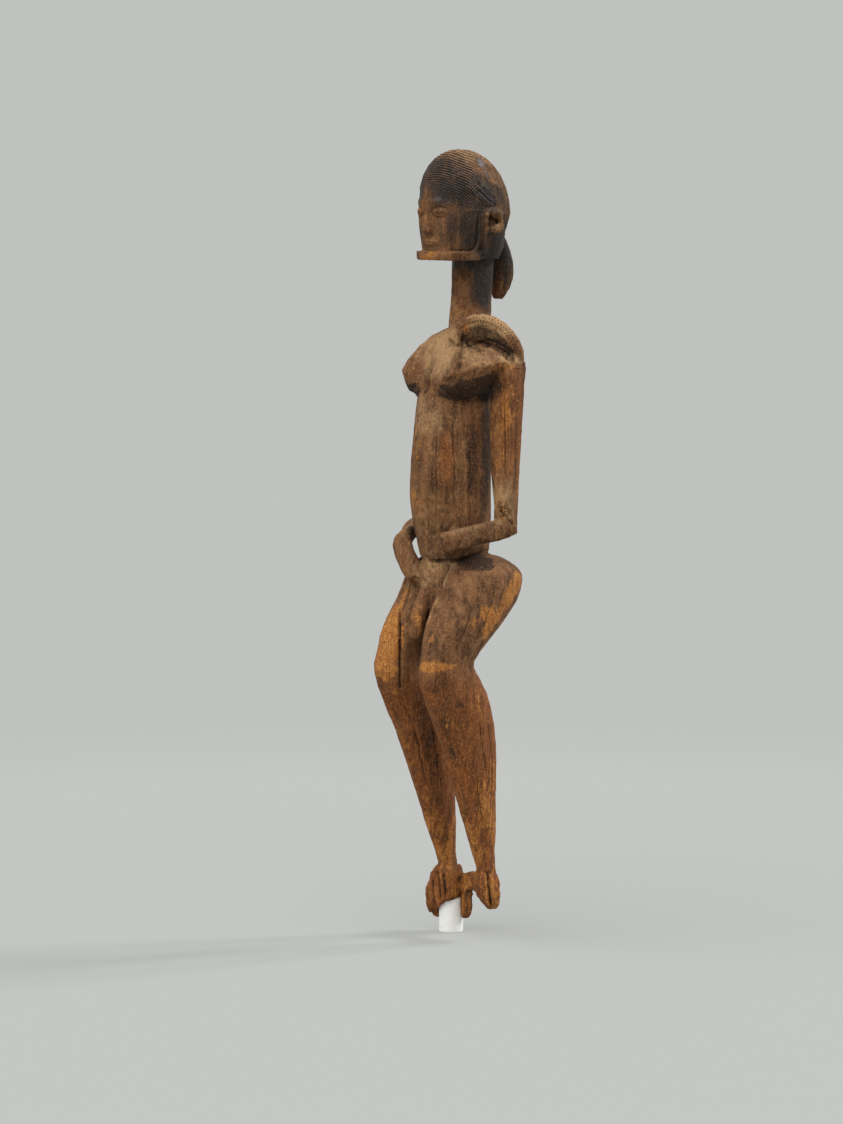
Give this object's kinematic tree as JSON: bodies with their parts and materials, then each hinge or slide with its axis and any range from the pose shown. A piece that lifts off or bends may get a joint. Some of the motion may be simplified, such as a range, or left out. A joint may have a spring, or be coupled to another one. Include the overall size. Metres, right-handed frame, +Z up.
{
  "type": "carved ancestor figure",
  "caption": "Standing wooden ancestor figure with bent knees, long torso and plank beard, lifting off a pin in a short white display post.",
  "frame": {"origin": "middle of the post's foot, where the plinth bolt enters", "axes": "+Z up along the post and the figure, -Y the way the figure faces, +X the figure's left side"},
  "size_m": [0.1882, 0.1807, 1.0074],
  "materials": {
    "old_wood": "aged, dark patina with worn orange edges and grey crust",
    "white_paint": "matt white paint",
    "steel": "turned",
    "brass": "drawn tube",
    "felt": "grey felt"
  },
  "bodies": {
    "stand": {"support_post": "white_paint", "shouldered_pin": "steel", "rest_pad": "felt", "pin_washer": "steel", "coupling_nut": "steel"},
    "figure": {"carved_figure": "old_wood", "pin_sleeve": "brass"}
  },
  "joints": [
    {"name": "figure_lift", "type": "slide", "parent": "stand", "child": "figure", "axis": [0, 0, 1], "range_m": [0, 0.06]}
  ]
}
